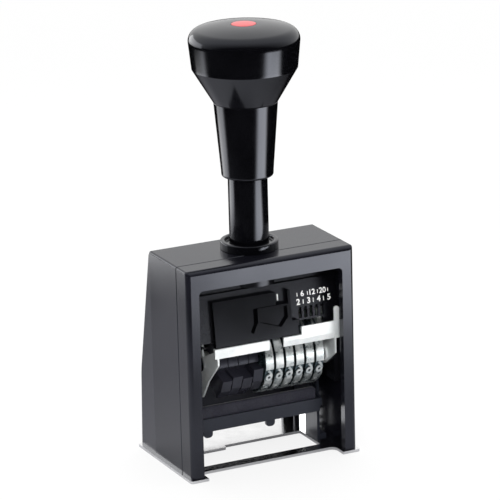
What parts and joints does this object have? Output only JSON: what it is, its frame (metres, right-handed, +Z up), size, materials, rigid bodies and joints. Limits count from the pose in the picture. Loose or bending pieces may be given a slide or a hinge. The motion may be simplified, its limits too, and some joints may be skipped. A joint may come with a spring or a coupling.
{
  "type": "numbering machine",
  "caption": "Self-inking desk numbering machine: a knob handle presses a wheel carriage down through an open-fronted housing while an ink tray swings clear",
  "frame": {"origin": "bottom centre of the whole machine, on the surface it stands on", "axes": "+Z up along the handle, +X to the right seen from the open front, +Y to the back"},
  "size_m": [0.0806, 0.0566, 0.19],
  "materials": {
    "housing_plastic": "satin gloss black",
    "handle_plastic": "polished black",
    "red_plastic": "satin red",
    "nickel": "bright nickel plate",
    "steel": "turned bright",
    "zinc_steel": "bright zinc plate",
    "spring_steel": "drawn wire",
    "wheel_metal": "plated, slightly worn",
    "disc_plastic": "moulded black",
    "carriage_plastic": "fine texture black",
    "dark_plastic": "satin dark grey",
    "pad_fabric": "ink-soaked felt"
  },
  "bodies": {
    "housing": {"front_frame": "housing_plastic", "rear_housing": "housing_plastic", "rear_cover": "housing_plastic", "base_plate": "nickel", "base_screws": "steel", "guide_collar": "handle_plastic", "collar_nut": "handle_plastic", "left_tray_bracket": "dark_plastic", "right_tray_bracket": "dark_plastic", "tray_pivots": "steel", "left_return_spring": "spring_steel", "right_return_spring": "spring_steel"},
    "plunger": {"stem_tube": "handle_plastic", "grip_sleeve": "handle_plastic", "knob_head": "handle_plastic", "knob_insert": "red_plastic", "tie_rod": "steel", "rod_nut": "steel", "carriage": "carriage_plastic", "left_frame_plate": "zinc_steel", "right_frame_plate": "zinc_steel", "bearing_plate": "zinc_steel", "frame_screws": "steel", "wheel_axle": "steel", "axle_spacer": "zinc_steel", "key_rod": "steel", "blank_disc_1": "disc_plastic", "blank_disc_2": "disc_plastic", "blank_disc_3": "disc_plastic", "blank_disc_4": "disc_plastic", "indicator_plate": "carriage_plastic", "pointer_tab": "zinc_steel", "index_comb": "zinc_steel", "pawl_shaft": "steel"},
    "tray": {"ink_tray": "dark_plastic", "ink_pad": "pad_fabric"},
    "selector": {"repeat_selector": "carriage_plastic", "selector_tab": "carriage_plastic"},
    "pawl": {"advance_pawl": "zinc_steel"},
    "wheel_1": {"number_wheel_1": "wheel_metal"},
    "wheel_2": {"number_wheel_2": "wheel_metal"},
    "wheel_3": {"number_wheel_3": "wheel_metal"},
    "wheel_4": {"number_wheel_4": "wheel_metal"},
    "wheel_5": {"number_wheel_5": "wheel_metal"},
    "wheel_6": {"number_wheel_6": "wheel_metal"}
  },
  "joints": [
    {"name": "handle_press", "type": "slide", "parent": "housing", "child": "plunger", "axis": [0, 0, -1], "range_m": [0, 0.0277], "stiffness_N_per_m": 600, "springref_m": -0.012, "deforming": ["left_return_spring", "right_return_spring"]},
    {"name": "tray_swing", "type": "hinge", "parent": "housing", "child": "tray", "pos_m": [0, 0.0116, 0.0278], "axis": [1, 0, 0], "range_deg": [0, 94]},
    {"name": "selector_slide", "type": "slide", "parent": "plunger", "child": "selector", "axis": [1, 0, 0], "range_m": [0, 0.019]},
    {"name": "pawl_swing", "type": "hinge", "parent": "plunger", "child": "pawl", "pos_m": [0, 0.0101, 0.0586], "axis": [1, 0, 0], "range_deg": [0, 8]},
    {"name": "wheel_spin_1", "type": "hinge", "parent": "plunger", "child": "wheel_1", "pos_m": [0, -0.0034, 0.0442], "axis": [1, 0, 0], "continuous": true},
    {"name": "wheel_spin_2", "type": "hinge", "parent": "plunger", "child": "wheel_2", "pos_m": [0, -0.0034, 0.0442], "axis": [1, 0, 0], "continuous": true},
    {"name": "wheel_spin_3", "type": "hinge", "parent": "plunger", "child": "wheel_3", "pos_m": [0, -0.0034, 0.0442], "axis": [1, 0, 0], "continuous": true},
    {"name": "wheel_spin_4", "type": "hinge", "parent": "plunger", "child": "wheel_4", "pos_m": [0, -0.0034, 0.0442], "axis": [1, 0, 0], "continuous": true},
    {"name": "wheel_spin_5", "type": "hinge", "parent": "plunger", "child": "wheel_5", "pos_m": [0, -0.0034, 0.0442], "axis": [1, 0, 0], "continuous": true},
    {"name": "wheel_spin_6", "type": "hinge", "parent": "plunger", "child": "wheel_6", "pos_m": [0, -0.0034, 0.0442], "axis": [1, 0, 0], "continuous": true}
  ],
  "couplings": [
    {"joint": "tray_swing", "follows": "handle_press", "rad_per_m": 58.99},
    {"joint": "pawl_swing", "follows": "handle_press", "rad_per_m": 5}
  ]
}
